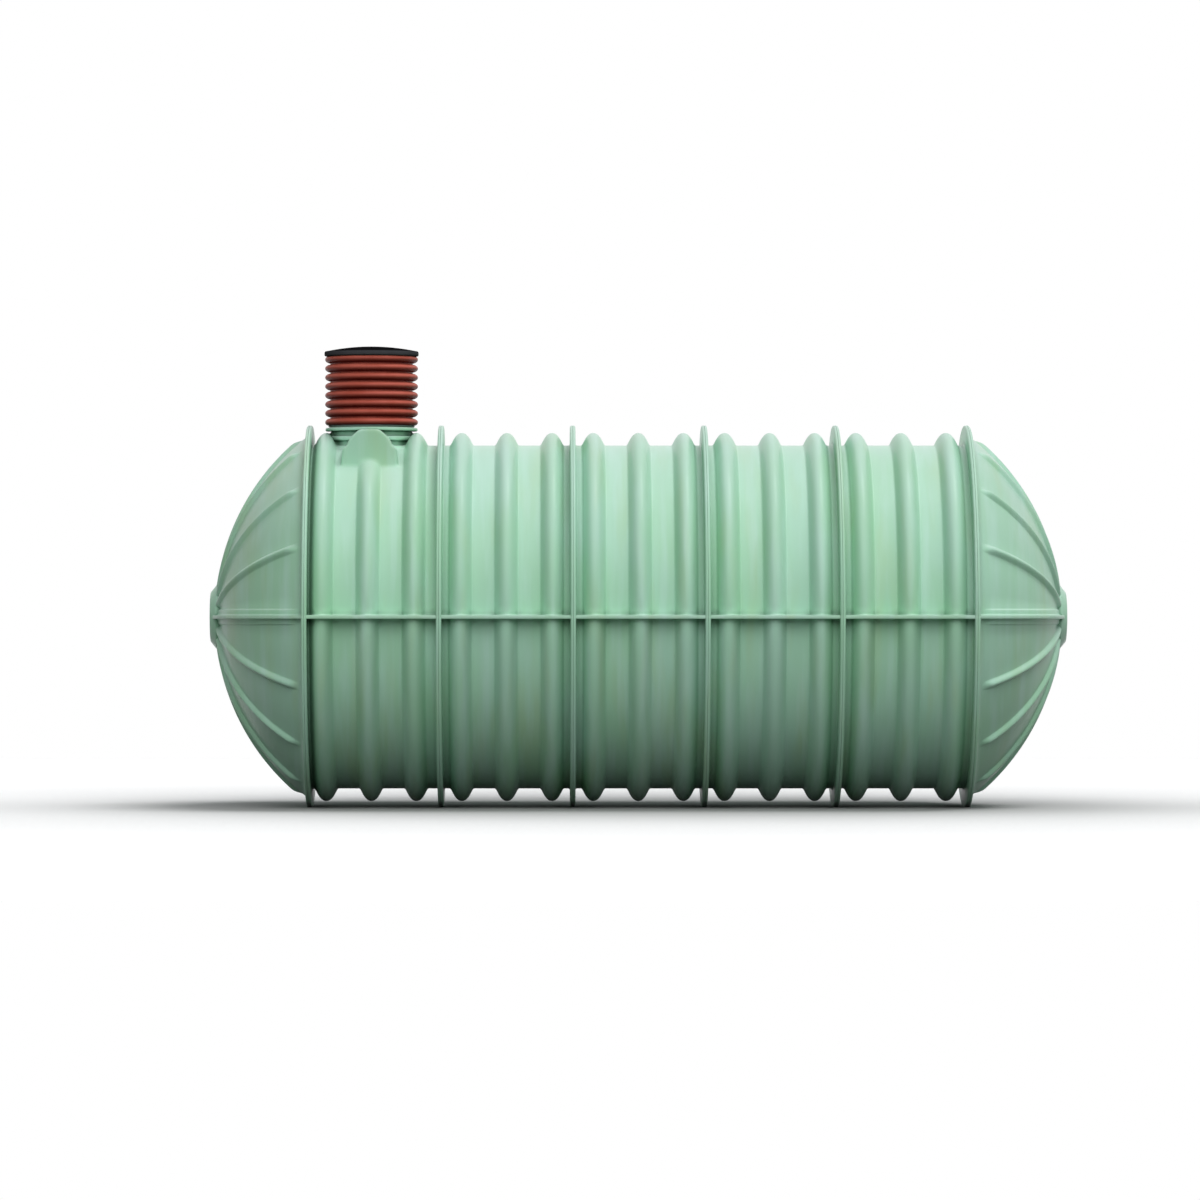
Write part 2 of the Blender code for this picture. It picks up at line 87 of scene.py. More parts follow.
# Domed ends
DOME_DEPTH = 0.6405
DOME_EDGE_RADIUS = 1.2766
DOME_SECTORS = 16
DOME_RIB_HALF_WIDTH = 0.031
DOME_RIB_HEIGHT = 0.028
DOME_RIB_POWER = 2.0
DOME_RIB_FILLET = 0.008
DOME_RIB_REACH = 1.25  # how far the fillets of a rib go, in half widths
DOME_RIB_END = 0.025  # from the flange to the tip of a rib
DOME_RIB_TAPER = 0.06
DOME_RIB_TIP_ROUND = 0.4
DOME_RIB_ROWS = 15
DOME_COLUMNS = 44
DOME_INNER_STRIDE = 3  # the inside takes every third column
DOME_GAP_SHARES = (0.25, 0.5, 0.75)  # rows between one rib and the next
BAND_HEIGHT = 0.012  # a low step beside the joint of the two halves
BAND_WIDTH = 0.045
BAND_EDGE = 0.014
BAND_ROOM = 0.95  # share of the way to the first rib that the band may take
BOSS_RADIUS = 0.2275
BOSS_FACE_RADIUS = 0.175
BOSS_HEIGHT = 0.0565
BOSS_CHAMFER = 0.04
BOSS_LAP = 0.01  # how far the dome's skin runs in under a boss
BOSS_SINK = 0.02  # how far the wall of a boss goes in behind the skin
BOSS_SIDES = 96

# Neck, bead and pipe pads
NECK_RADIUS = 0.285
MANHOLE_RADIUS = 0.27
BEAD_RADIUS = 0.31
BEAD_TOP_DROP = 0.036
BEAD_WIDTH = 0.034
BEAD_ROUND = 0.012
BEAD_SINK = 0.01  # how far it goes into the neck
PAD_DISTANCE = 0.6
PAD_HALF_WIDTHS = (0.2, 0.198, 0.186, 0.156, 0.147, 0.124, 0.08, 0.062)
PAD_DROPS = (1.2, 0.267, 0.138, 0.107, 0.083, 0.049, 0.009, 0.0)
PAD_EDGE = 0.014
NECK_FILLET = 0.018
NECK_TOP_ROUND = 0.008
SKIRT_RADIUS = 0.312  # of the low step at the neck's foot
SKIRT_DROP = 0.104
SKIRT_ROUND = 0.006
PATCH_REACH = 0.06  # how far the neck's moulding runs out over the shell
PATCH_DEPTH = 0.06  # how far it goes in under the shell
PATCH_SINK = 0.0004
PATCH_STEP = 0.008
PATCH_MARGIN = 0.1  # from a pad's face to the end of the sampled box
PATCH_BOX_DEPTH = 0.32  # from the crown of the shell to the foot of that box
SKIN_SAMPLES = 600
MANHOLE_CLEARANCE = 0.003  # between the ribbed shell's hole and the neck's
ROUND_SIDES = 128

# Collar, riser and cover
REST_GAP = 0.0003  # between two pieces that stand on each other
COLLAR_BORE_RADIUS = 0.2785
COLLAR_RING_HEIGHT = 0.0235
COLLAR_RING_ROUND = 0.008
COLLAR_LIP_RADIUS = 0.296
COLLAR_LIP_ROUND = 0.003
SEAL_FLAT = 0.0005  # half the flat part of the seal's edge
RISER_RINGS = 8
RISER_RING_PITCH = 0.0627
RISER_RING_RADIUS = 0.325
RISER_VALLEY_RADIUS = 0.288
RISER_BORE_RADIUS = 0.27
SPIGOT_WALL = 0.008
RISER_END = 0.023
RING_SHARE = 0.86  # of the pitch that a ring takes
RING_POWER = 1.1
RING_POINTS = 14
COVER_RIM_HEIGHT = 0.032
COVER_EDGE_ROUND = 0.014
COVER_FOOT_ROUND = 0.010
COVER_WALL = 0.012
COVER_DOME_SHARES = np.linspace(0, 0.93, 12)[1:]  # of the radius, out from the middle
PLUG_CLEARANCE = 0.002

# Painted shade in the gaps and on the floor
GAP_SHADE_REACH = 0.06  # how wide a gap still gets the painted shade
FLOOR_HALF_SIZE = 16.0
SHADE_REACH = 6.0  # how far the tank's painted shadow still dims the floor
SHADE_GROWTH = 5.0  # how fast the painted shadow dims the floor where the tank covers more of the sky

# Places taken from the frame
half_low, half_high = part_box("shell_upper_3")
AXIS_HEIGHT = (half_low.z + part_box("shell_lower_3")[1].z) / 2
SEGMENT_LENGTH = half_high.x - half_low.x
SEGMENT_PITCH = SEGMENT_LENGTH + JOINT_GAP
FLANGE_RADIUS = half_high.y
TANK_HALF_LENGTH = SEGMENTS * SEGMENT_PITCH / 2
DOME_RADIUS = (DOME_EDGE_RADIUS ** 2 + DOME_DEPTH ** 2) / (2 * DOME_DEPTH)
DOME_CENTRE = DOME_DEPTH - DOME_RADIUS
riser_low, riser_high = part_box("riser")
RISER_X = (riser_low.x + riser_high.x) / 2
COVER_RIM = riser_high.z + REST_GAP + COVER_RIM_HEIGHT
NECK_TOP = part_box("neck_collar")[0].z - AXIS_HEIGHT


def smooth_max(a, b, reach):
    """The larger of two values, rounded where they are closer than reach."""
    return np.maximum(a, b) + np.clip(reach - np.abs(a - b), 0, None) ** 2 / (4 * reach)


def smooth_min(a, b, reach):
    """The smaller of two values, rounded where they are closer than reach."""
    return -smooth_max(-np.asarray(a), -np.asarray(b), reach)


def arc(centre, radius, start, stop):
    """Points on an arc, from one angle to another in degrees."""
    angles = np.radians(np.linspace(start, stop, ARC_STEPS + 1))
    return [(centre[0] + radius * math.cos(a), centre[1] + radius * math.sin(a)) for a in angles]


def linked(name, data):
    """An object of a mesh, a lamp or a camera, linked to the scene."""
    item = bpy.data.objects.new(name, data)
    bpy.context.scene.collection.objects.link(item)
    return item


def mesh_object(shape, name):
    """An object of a bmesh, which it frees."""
    mesh = bpy.data.meshes.new(name)
    shape.to_mesh(mesh)
    shape.free()
    return linked(name, mesh)


def finish_mesh(shape, name, crease=40):
    """An object of a bmesh, with its doubles merged and its faces smooth.

    Edges sharper than the crease, in degrees, stay sharp.
    """
    bmesh.ops.remove_doubles(shape, verts=shape.verts, dist=MERGE_DISTANCE)
    bmesh.ops.dissolve_degenerate(shape, edges=shape.edges, dist=SHORTEST_EDGE)
    bmesh.ops.recalc_face_normals(shape, faces=shape.faces)
    item = mesh_object(shape, name)
    item.data.shade_smooth()
    item.data.set_sharp_from_angle(angle=math.radians(crease))
    return item


def lattice(name, points, closed=False, crease=40):
    """A solid skinned over sections: points[i, j] is point j of the closed section i.

    A lattice that isn't closed has a cap on its first and on its last section.
    """
    rows, columns = points.shape[:2]
    shape = bmesh.new()
    verts = [shape.verts.new(point) for point in points.reshape(-1, 3).tolist()]
    for i in range(rows if closed else rows - 1):
        here = i * columns
        there = (i + 1) % rows * columns
        for j in range(columns):
            k = (j + 1) % columns
            shape.faces.new((verts[here + j], verts[here + k], verts[there + k], verts[there + j]))
    if not closed:
        shape.faces.new(verts[:columns])
        shape.faces.new(verts[-columns:])
    return finish_mesh(shape, name, crease)


def turned(name, line):
    """A closed line of (radius, height above the axis) turned about the riser's middle."""
    radius, height = np.array(line, float).T
    turns = np.linspace(0, 2 * math.pi, ROUND_SIDES, endpoint=False)[:, None]
    points = np.stack([
        RISER_X + radius * np.cos(turns),
        radius * np.sin(turns),
        AXIS_HEIGHT + height + 0 * turns,
    ], axis=-1)
    return lattice(name, points, closed=True)


def dress(item, node, material):
    """Gives a piece its material and its body, and hides the solid that it stands for."""
    item.data.materials.append(material)
    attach(item, "root")
    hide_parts(node)


def rib_radius(x, shift, half_width=RIB_HALF_WIDTH, middle=1.0):
    """The shell's radius at a place along a segment, ribs and their fillets included.

    The middle rib can have a share of its height.
    """
    radius = np.full(np.shape(x), SHELL_RADIUS)
    for number in range(RIBS):
        offset = np.abs(x - shift - (number - (RIBS - 1) / 2) * RIB_PITCH) / half_width
        rib = RIB_HEIGHT * (1 - offset ** RIB_POWER)
        share = middle if number == RIBS // 2 else 1.0
        radius = radius + share * smooth_max(rib, 0, RIB_FILLET)
    return radius


def rib_sink(across, height):
    """How far the middle rib has sunk, from 0 to 1, at a place round the shell."""
    low, high = PAD_RIB_ANGLES
    angle = np.degrees(np.arctan2(height, np.abs(across)))
    turn = np.clip((angle - low) / (high - low), 0, 1)
    return turn * turn * (3 - 2 * turn)


def rib_places(shift, count):
    """Places along a segment that follow its ribs closely."""
    across = np.linspace(-RIB_REACH, RIB_REACH, count) * RIB_HALF_WIDTH
    middles = [shift + (number - (RIBS - 1) / 2) * RIB_PITCH for number in range(RIBS)]
    return np.concatenate([middle + across for middle in middles])


def segment_section(shift, middle=1.0):
    """The closed section of a half shell, as (x, radius): its outside, then its inside."""
    end = SEGMENT_LENGTH / 2
    root = end - FLANGE_THICKNESS
    flange = arc((end - JOINT_ROUND, FLANGE_RADIUS - JOINT_ROUND), JOINT_ROUND, 0, 90)
    flange += arc((root + RIM_ROUND, FLANGE_RADIUS - RIM_ROUND), RIM_ROUND, 90, 180)
    flange += arc((root - FLANGE_FILLET, SHELL_RADIUS + FLANGE_FILLET), FLANGE_FILLET, 0, -90)
    limit = root - FLANGE_FILLET
    outer_x = np.clip(rib_places(shift, RIB_POINTS), -limit, limit)
    outside = [(-x, r) for x, r in flange]
    outside += [(x, SHELL_RADIUS) for x in outer_x]
    outside = np.array(outside + flange[::-1])
    outside[:, 1] += rib_radius(outside[:, 0], shift, middle=middle) - SHELL_RADIUS
    inner_x = rib_places(shift, RIB_INNER_POINTS)[::-1]
    inner_r = rib_radius(inner_x, shift, RIB_HALF_WIDTH - WALL, middle) - WALL
    inside = [(end, SHELL_RADIUS - WALL)]
    inside += list(zip(inner_x, inner_r))
    inside += [(-end, SHELL_RADIUS - WALL)]
    return outside, np.array(inside)


def quarter_rows(line, reach):
    """Sections of a half shell from its joint up to its crown, with its side flange."""
    x, radius = line.T
    edge = SIDE_FLANGE_THICKNESS
    rows = []
    for inset, height in SIDE_LIP:
        out = np.maximum(np.sqrt(radius ** 2 - height ** 2), reach - inset)
        rows.append((out, np.full_like(x, height)))
    wall = np.sqrt(radius ** 2 - edge ** 2)
    fillet = np.clip(reach - LIP_ROUND - wall, 0, LIP_FILLET)
    for turn in np.linspace(0, math.pi / 2, ARC_STEPS + 1):
        height = edge + fillet * (1 - math.cos(turn))
        out = np.sqrt(radius ** 2 - height ** 2) + fillet * (1 - math.sin(turn))
        rows.append((out, height))
    start = np.arcsin((edge + fillet) / radius)
    for share in np.linspace(0, 1, QUARTER_STEPS + 1)[1:]:
        angle = start + (math.pi / 2 - start) * share
        rows.append((radius * np.cos(angle), radius * np.sin(angle)))
    return np.stack([np.stack([x, out, height], axis=-1) for out, height in rows])


def both_sides(quarter):
    """A quarter's sections, mirrored over the crown."""
    other = quarter[:-1][::-1] * (1, -1, 1)
    return np.concatenate([quarter, other])


def half_shell_points(shift, middle=1.0):
    """Every section of an upper half shell, about the middle of its segment."""
    outside, inside = segment_section(shift, middle)
    outer = quarter_rows(outside, SIDE_FLANGE_RADIUS)
    inner = quarter_rows(inside, 0)
    return both_sides(np.concatenate([outer, inner], axis=1))


def padded_shell_points():
    """The sections of the half shell under the neck, with its middle rib sunk near the pads."""
    full = half_shell_points(RISER_SEGMENT_SHIFT)
    low = half_shell_points(RISER_SEGMENT_SHIFT, PAD_RIB_SHARE)
    sink = rib_sink(full[..., 1], full[..., 2])[..., None]
    return full + (low - full) * sink


def placed(points, place_x, lower, mirrored=False):
    """Points about a segment's middle, moved to their place on the tank and off the floor."""
    points = points * (-1 if mirrored else 1, 1, -1 if lower else 1)
    points = points + (place_x, 0, AXIS_HEIGHT)
    points[..., 2] = np.maximum(points[..., 2], 0)
    return points


def dome_sections():
    """Columns of a half dome's outside, then of its inside.

    Each is given as sphere radius, polar angle and share of rib height.
    """
    first = math.asin((BOSS_RADIUS - BOSS_LAP) / DOME_RADIUS)
    front = FLANGE_THICKNESS + JOINT_GAP / 2
    last = math.acos((front + FLANGE_FILLET - DOME_CENTRE) / DOME_RADIUS)
    polar = np.linspace(first, last, DOME_COLUMNS)
    left = (last - polar) * DOME_RADIUS - DOME_RIB_END
    share = smooth_min(np.clip(left / DOME_RIB_TAPER, 0, None), 1, DOME_RIB_TIP_ROUND)
    skin = np.stack([np.full_like(polar, DOME_RADIUS), polar, share], axis=-1)

    rim = front - RIM_ROUND
    flange = [(front, DOME_EDGE_RADIUS + FLANGE_FILLET / 2)]
    flange += arc((rim, FLANGE_RADIUS - RIM_ROUND), RIM_ROUND, 0, 90)
    joint = JOINT_GAP / 2 + JOINT_ROUND
    flange += arc((joint, FLANGE_RADIUS - JOINT_ROUND), JOINT_ROUND, 90, 180)
    mouth = [(JOINT_GAP / 2, SHELL_RADIUS - WALL), (front, SHELL_RADIUS - WALL)]

    def polar_points(line):
        x, radius = np.array(line).T
        sphere = np.hypot(x - DOME_CENTRE, radius)
        turn = np.arctan2(radius, x - DOME_CENTRE)
        return np.stack([sphere, turn, np.zeros_like(x)], axis=-1)

    inner = skin[::-DOME_INNER_STRIDE].copy()
    inner[:, 0] -= WALL
    outside = np.concatenate([skin, polar_points(flange)])
    return outside, np.concatenate([polar_points(mouth), inner])


def dome_quarter():
    """Sections of a half dome from its joint up to its crown."""
    outside, inside = dome_sections()
    sphere, polar, share = np.concatenate([outside, inside]).T
    outer = np.arange(len(sphere)) < len(outside)
    lip_sphere = math.hypot(FLANGE_THICKNESS / 2 - DOME_CENTRE, SIDE_FLANGE_RADIUS)
    reach = np.where(outer, lip_sphere, 0)
    band = sphere + BAND_HEIGHT * share * outer
    edge = SIDE_FLANGE_THICKNESS
    sector = 2 * math.pi / DOME_SECTORS
    rows = []

    def add(radius, azimuth):
        out = radius * np.sin(polar)
        rows.append(np.stack([
            radius * np.cos(polar) + DOME_CENTRE,
            out * np.cos(azimuth),
            out * np.sin(azimuth),
        ], axis=-1))

    def add_height(radius, height):
        add(radius, np.arcsin(height / (radius * np.sin(polar))))

    for inset, height in SIDE_LIP:
        add_height(np.maximum(sphere, reach - inset), height)
    fillet = np.clip(reach - LIP_ROUND - band, 0, LIP_FILLET)
    for turn in np.linspace(0, math.pi / 2, ARC_STEPS + 1):
        radius = band + fillet * (1 - math.sin(turn))
        add_height(np.where(outer, radius, sphere), edge + fillet * (1 - math.cos(turn)))

    half = np.arcsin(DOME_RIB_HALF_WIDTH / (sphere * np.sin(polar)))
    room = sphere * np.sin(polar) * np.sin(sector - DOME_RIB_REACH * half) * BAND_ROOM
    top = np.maximum(np.minimum(BAND_WIDTH, room - BAND_EDGE), edge + fillet)
    for step in np.linspace(0, 1, ARC_STEPS + 1):
        fall = 0.5 - 0.5 * math.cos(math.pi * step)
        add_height(band + (sphere - band) * fall, top + BAND_EDGE * step)
    end = np.arcsin((top + BAND_EDGE) / (sphere * np.sin(polar)))

    for number in range(1, DOME_SECTORS // 4 + 1):
        middle = number * sector
        start = middle - DOME_RIB_REACH * half
        for gap in DOME_GAP_SHARES:
            add(sphere, end + (start - end) * gap)
        across = np.linspace(-DOME_RIB_REACH, DOME_RIB_REACH, DOME_RIB_ROWS)
        if number == DOME_SECTORS // 4:
            across = across[across <= 0]
        for offset in across:
            rib = DOME_RIB_HEIGHT * (1 - abs(offset) ** DOME_RIB_POWER)
            add(sphere + share * smooth_max(rib, 0, DOME_RIB_FILLET), middle + offset * half)
        end = middle + DOME_RIB_REACH * half
    return np.stack(rows)


def boss_line():
    """The section of a boss, its edges a little rounded.

    Each point is given as (radius, distance from the joint plane).
    """
    face = DOME_DEPTH + BOSS_HEIGHT
    foot = math.sqrt(DOME_RADIUS ** 2 - BOSS_RADIUS ** 2) + DOME_CENTRE - BOSS_SINK
    return [
        (0.0, face),
        (BOSS_FACE_RADIUS - 0.012, face),
        (BOSS_FACE_RADIUS - 0.004, face - 0.001),
        (BOSS_FACE_RADIUS + 0.003, face - 0.005),
        (BOSS_RADIUS - 0.006, face - BOSS_CHAMFER),
        (BOSS_RADIUS - 0.001, face - BOSS_CHAMFER - 0.004),
        (BOSS_RADIUS, face - BOSS_CHAMFER - 0.01),
        (BOSS_RADIUS, foot),
        (BOSS_RADIUS - WALL, foot),
        (BOSS_RADIUS - WALL, face - BOSS_CHAMFER - WALL),
        (BOSS_FACE_RADIUS - WALL, face - WALL),
        (0.0, face - WALL),
    ]


def boss(name, side):
    """The round cap in the middle of a domed end."""
    radius, out = np.array(boss_line()).T
    turns = np.linspace(0, 2 * math.pi, BOSS_SIDES, endpoint=False)[:, None]
    points = np.stack([
        side * (TANK_HALF_LENGTH + out) + 0 * turns,
        radius * np.cos(turns),
        AXIS_HEIGHT + radius * np.sin(turns),
    ], axis=-1)
    return lattice(name, points, closed=True, crease=30)


def neck_field(x, y, z):
    """Signed distance to the neck's moulding, which runs out a little over the shell.

    x is measured from the neck's middle, y and z from the tank's axis.
    """
    line = np.linspace(-SEGMENT_LENGTH / 2, SEGMENT_LENGTH / 2, SKIN_SAMPLES)
    radius = rib_radius(line, 0.0)
    sunk = rib_radius(line, 0.0, middle=PAD_RIB_SHARE)
    steepness = np.sqrt(1 + np.gradient(radius, line) ** 2)
    skin = np.interp(x, line, radius)
    skin = skin + (np.interp(x, line, sunk) - skin) * rib_sink(y, z)
    shell = (np.hypot(y, z) - skin) / np.interp(x, line, steepness)

    distance = np.hypot(x, y)
    skirt = smooth_max(distance - SKIRT_RADIUS, z - NECK_TOP + SKIRT_DROP, SKIRT_ROUND)
    column = np.minimum(distance - NECK_RADIUS, skirt)
    heights = [NECK_TOP - drop for drop in PAD_DROPS]
    width = np.interp(z, heights, PAD_HALF_WIDTHS)
    lean = np.gradient(PAD_HALF_WIDTHS, heights)
    across = (np.abs(x) - width) / np.sqrt(1 + np.interp(z, heights, lean) ** 2)
    pads = smooth_max(across, np.abs(y) - PAD_DISTANCE, PAD_EDGE)
    raised = smooth_max(smooth_min(column, pads, PAD_EDGE), z - NECK_TOP, NECK_TOP_ROUND)
    joined = smooth_min(shell, raised, NECK_FILLET) + PATCH_SINK
    joined = np.maximum(joined, z - NECK_TOP)
    patch = np.maximum(joined, raised - PATCH_REACH)
    patch = np.maximum(patch, SHELL_RADIUS - PATCH_DEPTH - np.hypot(y, z))
    return np.maximum(patch, MANHOLE_RADIUS - distance)


def level_surface(name, field, low, step):
    """The closed surface where a sampled distance field is zero.

    Each cell that the surface crosses gets one point, at the mean of its crossings.
    """
    inside = field < 0
    cells = np.array(field.shape) - 1

    def corner(values, i, j, k):
        return values[i:i + cells[0], j:j + cells[1], k:k + cells[2]]

    total = np.zeros((*cells, 3))
    hits = np.zeros(cells)
    for axis in range(3):
        others = [n for n in range(3) if n != axis]
        for a in (0, 1):
            for b in (0, 1):
                start = [0, 0, 0]
                start[others[0]] = a
                start[others[1]] = b
                stop = list(start)
                stop[axis] = 1
                first = corner(field, *start)
                second = corner(field, *stop)
                crossed = (first < 0) != (second < 0)
                share = np.where(crossed, first / np.where(crossed, first - second, 1), 0)
                for n in range(3):
                    total[..., n] += np.where(crossed, start[n] + (share if n == axis else 0), 0)
                hits += crossed
    active = hits > 0
    number = np.full(cells, -1)
    number[active] = np.arange(active.sum())
    where = np.argwhere(active)
    points = low + step * (where + total[active] / hits[active][:, None])

    shape = bmesh.new()
    verts = [shape.verts.new(point) for point in points.tolist()]
    for axis in range(3):
        u, v = [n for n in range(3) if n != axis]
        shift = np.roll(inside, -1, axis=axis)
        edges = np.argwhere(inside != shift)
        edges = edges[(edges[:, axis] < cells[axis]) & (edges[:, u] > 0) & (edges[:, v] > 0)]
        edges = edges[(edges[:, u] < cells[u]) & (edges[:, v] < cells[v])]
        for edge in edges:
            ring = []
            for du, dv in ((0, 0), (1, 0), (1, 1), (0, 1)):
                cell = edge.copy()
                cell[u] -= du
                cell[v] -= dv
                ring.append(verts[number[tuple(cell)]])
            shape.faces.new(ring)
    return finish_mesh(shape, name)


def neck_moulding():
    """The neck and its pipe pads, with soft fillets where they rise from the shell."""
    reach = SKIRT_RADIUS + PATCH_REACH + PATCH_STEP
    low = np.array((-reach, -PAD_DISTANCE - PATCH_MARGIN, SHELL_RADIUS - PATCH_BOX_DEPTH))
    high = np.array((reach, PAD_DISTANCE + PATCH_MARGIN, NECK_TOP + 2 * PATCH_STEP))
    counts = np.ceil((high - low) / PATCH_STEP).astype(int) + 1
    x, y, z = [low[n] + PATCH_STEP * np.arange(counts[n]) for n in range(3)]
    field = neck_field(x[:, None, None], y[None, :, None], z[None, None, :])
    origin = low + (RISER_X, 0, AXIS_HEIGHT)
    return level_surface("neck_moulding", field, origin, PATCH_STEP)


def bead():
    """The bead round the neck."""
    top = NECK_TOP - BEAD_TOP_DROP
    bottom = top - BEAD_WIDTH
    line = [(NECK_RADIUS - BEAD_SINK, top)]
    line += arc((BEAD_RADIUS - BEAD_ROUND, top - BEAD_ROUND), BEAD_ROUND, 90, 0)
    line += arc((BEAD_RADIUS - BEAD_ROUND, bottom + BEAD_ROUND), BEAD_ROUND, 0, -90)
    line.append((NECK_RADIUS - BEAD_SINK, bottom))
    return turned("neck_bead", line)


def ring_size(node):
    """The radius of a solid about the riser's middle, and its foot and top above the axis."""
    low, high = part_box(node)
    return high.x - RISER_X, low.z - AXIS_HEIGHT, high.z - AXIS_HEIGHT


def collar():
    """The ring on the neck and the lip above it, with rounded edges."""
    radius, bottom, top = ring_size("neck_collar")
    step = bottom + COLLAR_RING_HEIGHT
    ring = COLLAR_RING_ROUND
    lip = COLLAR_LIP_ROUND
    line = [(COLLAR_BORE_RADIUS, bottom)]
    line += arc((radius - ring, bottom + ring), ring, -90, 0)
    line += arc((radius - ring, step - ring), ring, 0, 90)
    line += arc((COLLAR_LIP_RADIUS + lip, step + lip), lip, -90, -180)
    line += arc((COLLAR_LIP_RADIUS - lip, top - lip), lip, 0, 90)
    line.append((COLLAR_BORE_RADIUS, top))
    return turned("collar_ring", line)


def seal():
    """The rubber ring under the riser."""
    radius, bottom, top = ring_size("riser_seal")
    rounding = (top - bottom) / 2 - SEAL_FLAT
    line = [(COLLAR_BORE_RADIUS, bottom)]
    line += arc((radius - rounding, bottom + rounding), rounding, -90, 0)
    line += arc((radius - rounding, top - rounding), rounding, 0, 90)
    line.append((COLLAR_BORE_RADIUS, top))
    return turned("seal_ring", line)


def riser():
    """The corrugated riser: full round rings with narrow valleys between them."""
    top = riser_high.z - AXIS_HEIGHT
    foot = riser_low.z - AXIS_HEIGHT
    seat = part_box("riser_seal")[1].z + REST_GAP - AXIS_HEIGHT
    depth = RISER_RING_RADIUS - RISER_VALLEY_RADIUS
    half = RING_SHARE * RISER_RING_PITCH / 2
    line = [(RISER_BORE_RADIUS, top), (RISER_VALLEY_RADIUS, top)]
    for number in reversed(range(RISER_RINGS)):
        middle = seat + RISER_END + number * RISER_RING_PITCH
        for turn in np.linspace(0, math.pi, RING_POINTS):
            height = middle + half * math.cos(turn)
            swell = math.sin(turn) ** RING_POWER
            if seat < height < top:
                line.append((RISER_VALLEY_RADIUS + depth * swell, height))
    spigot = RISER_BORE_RADIUS + SPIGOT_WALL
    line += [(RISER_VALLEY_RADIUS, seat), (spigot, seat)]
    line += [(spigot, foot), (RISER_BORE_RADIUS, foot)]
    return turned("riser_pipe", line)


def cover():
    """The low domed cover, with a rounded rim and the plug ring under it."""
    radius, foot, top = ring_size("riser_cover")
    seat = riser_high.z + REST_GAP - AXIS_HEIGHT
    rim = COVER_RIM - AXIS_HEIGHT
    edge = COVER_EDGE_ROUND
    under = COVER_FOOT_ROUND
    line = [(0.0, top)]
    for share in COVER_DOME_SHARES:
        line.append((radius * share, rim + (top - rim) * (1 - share ** 2)))
    line += arc((radius - edge, rim - under), edge, 60, 0)
    line += arc((radius - under, seat + under), under, 0, -90)
    plug = RISER_BORE_RADIUS - PLUG_CLEARANCE
    inner = plug - WALL
    line += [(plug, seat), (plug, foot), (inner, foot), (inner, rim - COVER_WALL)]
    line.append((0.0, top - COVER_WALL))
    return turned("cover_lid", line)


def add_node(tree, kind, inputs=None, **settings):
    """A shader node with its settings, and with its inputs linked or set."""
    node = tree.nodes.new(kind)
    for key, value in settings.items():
        setattr(node, key, value)
    for key, value in (inputs or {}).items():
        socket = node.inputs[key]
        if isinstance(value, bpy.types.NodeSocket):
            tree.links.new(value, socket)
        else:
            socket.default_value = value
    return node


def new_tree(name):
    """A material, its node tree, its Principled shader and the place in the tank's metres."""
    material = bpy.data.materials.new(name)
    material.use_nodes = True
    tree = material.node_tree
    place = add_node(tree, "ShaderNodeTexCoord").outputs["Object"]
    return material, tree, tree.nodes["Principled BSDF"], place


def noise(tree, place, scale, stretch=(1, 1, 1), detail=2.0):
    """A noise that is stretched along each axis where stretch is small."""
    mapping = add_node(tree, "ShaderNodeMapping", {"Vector": place, "Scale": stretch})
    settings = {"Vector": mapping.outputs["Vector"], "Scale": scale, "Detail": detail}
    return add_node(tree, "ShaderNodeTexNoise", settings).outputs["Fac"]


def ramp(tree, value, low, high, bottom=0.0, top=1.0):
    """A value moved from one range to another, with its ends held."""
    settings = {"Value": value, "From Min": low, "From Max": high}
    settings.update({"To Min": bottom, "To Max": top})
    return add_node(tree, "ShaderNodeMapRange", settings).outputs["Result"]


def maths(tree, operation, first, second=0.0):
    """The result of one operation on one or two values."""
    settings = {0: first, 1: second}
    return add_node(tree, "ShaderNodeMath", settings, operation=operation).outputs[0]


def mix_colour(tree, share, first, second):
    """A colour between two colours.

    A Mix node takes its colours in inputs 6 and 7, and gives the result in output 2.
    """
    settings = {"Factor": share, 6: first, 7: second}
    return add_node(tree, "ShaderNodeMix", settings, data_type="RGBA").outputs[2]


def facing_up(tree):
    """How far a face looks up, from -1 to 1."""
    normal = add_node(tree, "ShaderNodeNewGeometry").outputs["Normal"]
    return add_node(tree, "ShaderNodeSeparateXYZ", {"Vector": normal}).outputs["Z"]


def add_bump(tree, shader, height, distance, strength=1.0):
    """Gives a shader a bump of a height in metres."""
    settings = {"Height": height, "Distance": distance, "Strength": strength}
    normal = add_node(tree, "ShaderNodeBump", settings).outputs["Normal"]
    tree.links.new(normal, shader.inputs["Normal"])


def add_grain(tree, shader, place, scale):
    """Gives a shader the fine grain of moulded plastic or rubber."""
    add_bump(tree, shader, noise(tree, place, scale), 0.0003, 0.5)


def shown_rays(tree):
    """1 for the rays that show the background: to the camera, off gloss and through glass."""
    rays = add_node(tree, "ShaderNodeLightPath").outputs
    share = rays["Is Camera Ray"]
    for kind in ("Is Glossy Ray", "Is Transmission Ray"):
        share = maths(tree, "MAXIMUM", share, rays[kind])
    return share


